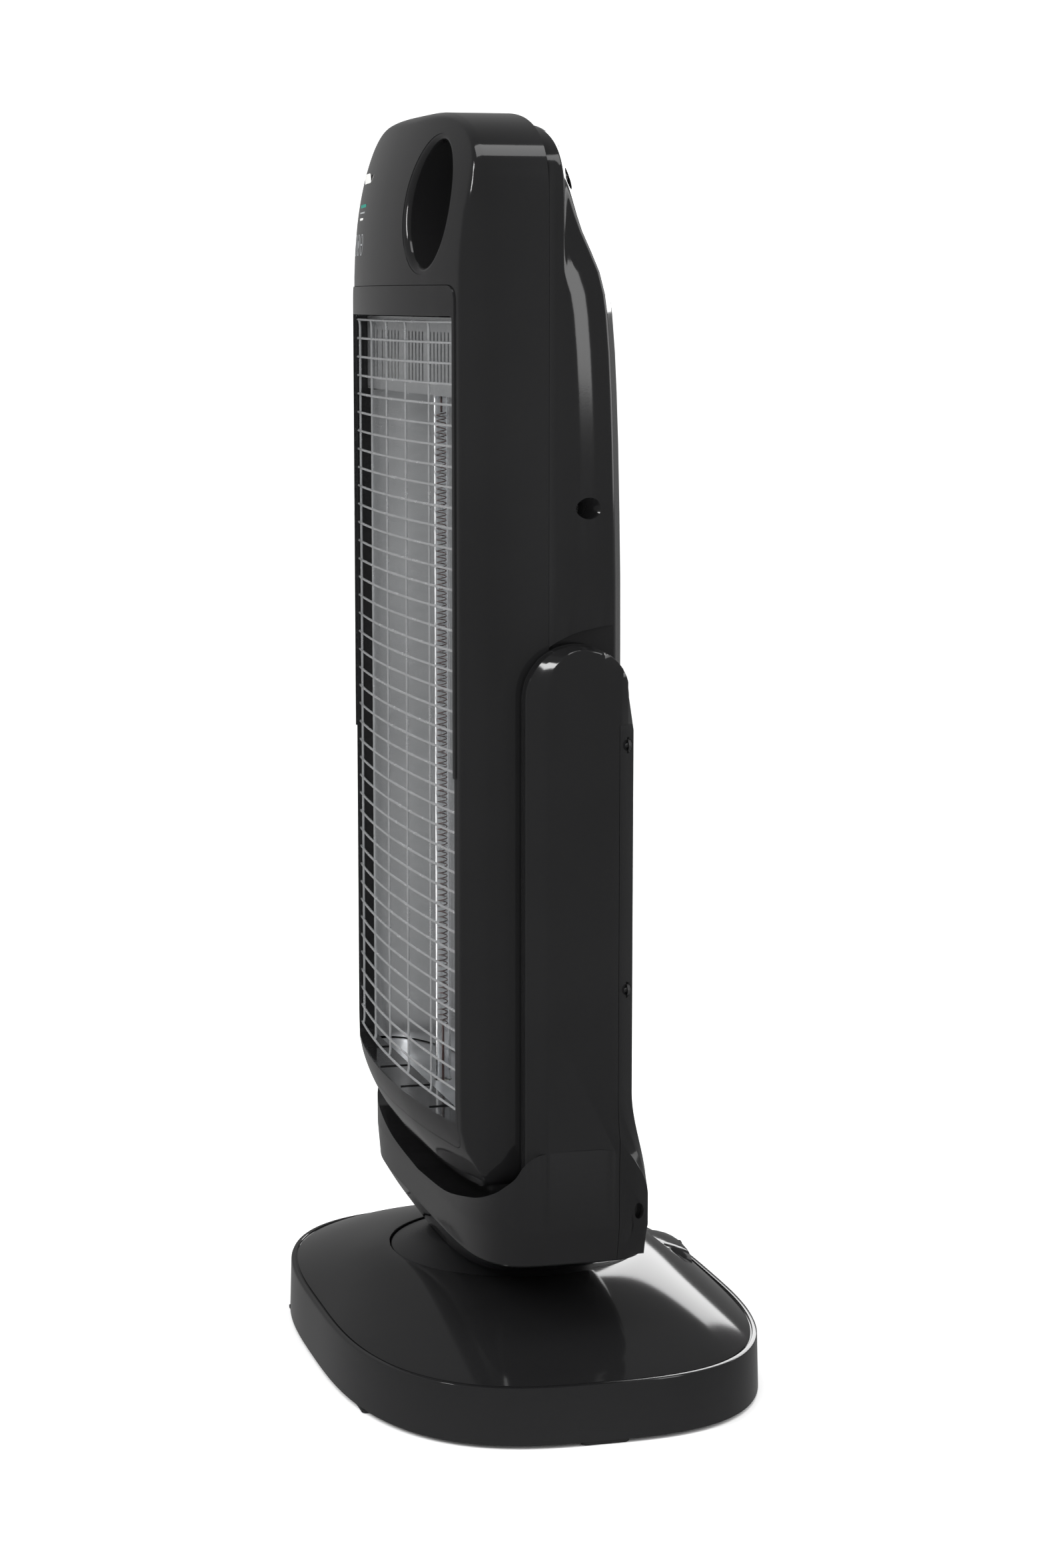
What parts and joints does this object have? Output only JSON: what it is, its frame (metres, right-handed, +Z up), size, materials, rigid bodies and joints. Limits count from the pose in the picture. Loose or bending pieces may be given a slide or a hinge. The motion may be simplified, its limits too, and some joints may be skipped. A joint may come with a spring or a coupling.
{
  "type": "oscillating tower heater",
  "caption": "Tall radiant tower heater with a wire front, hung between the arms of a yoke that turns on a low domed base.",
  "frame": {"origin": "on the floor under the turntable axis, which is the middle of the base", "axes": "+Z up, -Y towards the wire front, +X to the right seen from the front"},
  "size_m": [0.42, 0.276, 0.801],
  "materials": {
    "gloss_black": "moulded high-gloss black",
    "satin_black": "satin moulded black",
    "rubber": "matt black",
    "wire_chrome": "bright plated steel wire",
    "mirror_aluminium": "bright rolled sheet",
    "nylon": "natural",
    "ceramic": "unglazed white",
    "quartz": "clear quartz glass",
    "carbon": "dark brown carbon coil",
    "board": "green laminate",
    "zinc_steel": "zinc plated"
  },
  "bodies": {
    "base": {"base_cover": "gloss_black", "base_plate": "satin_black", "ballast_plate": "zinc_steel", "foot_1": "rubber", "foot_2": "rubber", "foot_3": "rubber", "foot_4": "rubber", "foot_5": "rubber", "foot_6": "rubber", "base_screw_1": "zinc_steel", "base_screw_2": "zinc_steel", "base_screw_3": "zinc_steel", "base_screw_4": "zinc_steel", "cord_gland": "rubber", "turntable_bearing": "nylon", "swivel_motor": "zinc_steel", "motor_bracket": "zinc_steel", "tip_switch_body": "satin_black"},
    "turntable": {"turntable_disc": "satin_black", "swivel_spindle": "zinc_steel", "spindle_nut": "zinc_steel", "swivel_gear": "nylon", "yoke_front_shell": "gloss_black", "yoke_rear_cover": "gloss_black", "yoke_screw_1": "zinc_steel", "yoke_screw_2": "zinc_steel", "yoke_screw_3": "zinc_steel", "yoke_screw_4": "zinc_steel", "friction_disc_right": "nylon", "pressure_spring_right": "zinc_steel", "friction_disc_left": "nylon", "pressure_spring_left": "zinc_steel"},
    "head": {"pivot_bolt_right": "zinc_steel", "pivot_nut_right": "zinc_steel", "pivot_bracket_right": "zinc_steel", "pivot_bolt_left": "zinc_steel", "pivot_nut_left": "zinc_steel", "pivot_bracket_left": "zinc_steel", "front_housing": "gloss_black", "rear_shell": "gloss_black", "grille_frame": "gloss_black", "grille": "wire_chrome", "handle_sleeve": "gloss_black", "head_screw_1": "zinc_steel", "head_screw_2": "zinc_steel", "head_screw_3": "zinc_steel", "head_screw_4": "zinc_steel", "reflector": "mirror_aluminium", "top_baffle": "mirror_aluminium", "bottom_plate": "zinc_steel", "quartz_tube": "quartz", "filament": "carbon", "end_cap_bottom": "ceramic", "end_cap_top": "ceramic", "tube_bracket_bottom": "zinc_steel", "tube_bracket_top": "zinc_steel", "thermal_cutout": "zinc_steel", "control_board": "board"},
    "pinion": {"motor_pinion": "nylon"},
    "plunger": {"tip_switch_plunger": "nylon"}
  },
  "joints": [
    {"name": "swivel", "type": "hinge", "parent": "base", "child": "turntable", "pos_m": [0, 0, 0.07], "axis": [0, 0, 1], "range_deg": [-35, 35]},
    {"name": "tilt", "type": "hinge", "parent": "turntable", "child": "head", "pos_m": [0, -0.005, 0.449], "axis": [-1, 0, 0], "range_deg": [0, 45]},
    {"name": "pinion_spin", "type": "hinge", "parent": "base", "child": "pinion", "pos_m": [0, 0.0452, 0.0555], "axis": [0, 0, 1], "range_deg": [-140, 140]},
    {"name": "plunger_slide", "type": "slide", "parent": "base", "child": "plunger", "axis": [0, 0, -1], "range_m": [0, 0.003], "stiffness_N_per_m": 200, "springref_m": 0.003}
  ],
  "couplings": [
    {"joint": "pinion_spin", "follows": "swivel", "ratio": -4}
  ]
}
